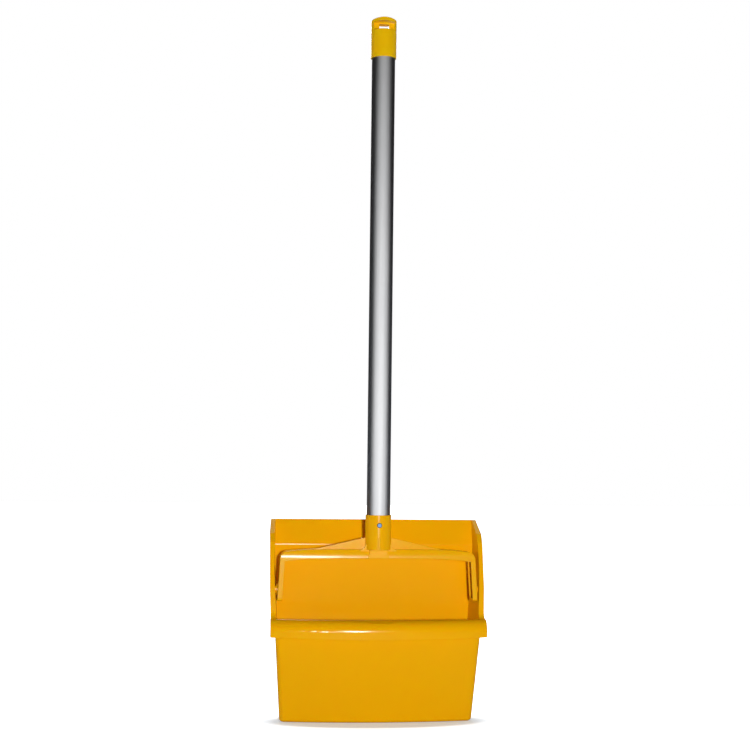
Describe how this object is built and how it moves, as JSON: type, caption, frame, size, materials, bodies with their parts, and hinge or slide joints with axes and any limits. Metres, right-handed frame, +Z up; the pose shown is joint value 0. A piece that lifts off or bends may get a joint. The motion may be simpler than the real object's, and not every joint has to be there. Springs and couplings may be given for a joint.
{
  "type": "lobby dust pan",
  "caption": "Upright dust pan: open-mouthed moulded hopper with a lip and a rolled rim, hinged in a yoke on a long tubular handle with a hanging cap.",
  "frame": {"origin": "centre of the bounding box at floor level, under the hopper", "axes": "+Z up along the handle; -Y is the front, where the hopper is open; +X is the viewer's right"},
  "size_m": [0.29, 0.107, 0.9522],
  "materials": {
    "pan_plastic": "injection-moulded yellow plastic, fine matt texture",
    "yoke_plastic": "injection-moulded yellow plastic, satin",
    "cap_plastic": "injection-moulded yellow plastic, satin",
    "tube_metal": "drawn tube, satin with fine lines along its length",
    "button_metal": "plated, smooth",
    "spring_metal": "plain spring strip"
  },
  "bodies": {
    "pan": {"pan_body": "pan_plastic"},
    "handle": {"yoke": "yoke_plastic", "handle_tube": "tube_metal", "end_cap": "cap_plastic", "button_spring": "spring_metal"},
    "button": {"snap_button": "button_metal"}
  },
  "joints": [
    {"name": "yoke_hinge", "type": "hinge", "parent": "pan", "child": "handle", "pos_m": [0, 0.003, 0.176], "axis": [1, 0, 0], "range_deg": [-22.5, 102]},
    {"name": "button_press", "type": "slide", "parent": "handle", "child": "button", "axis": [0, 1, 0], "range_m": [0, 0.003], "stiffness_N_per_m": 600, "springref_m": -0.002, "deforming": ["button_spring"]}
  ]
}
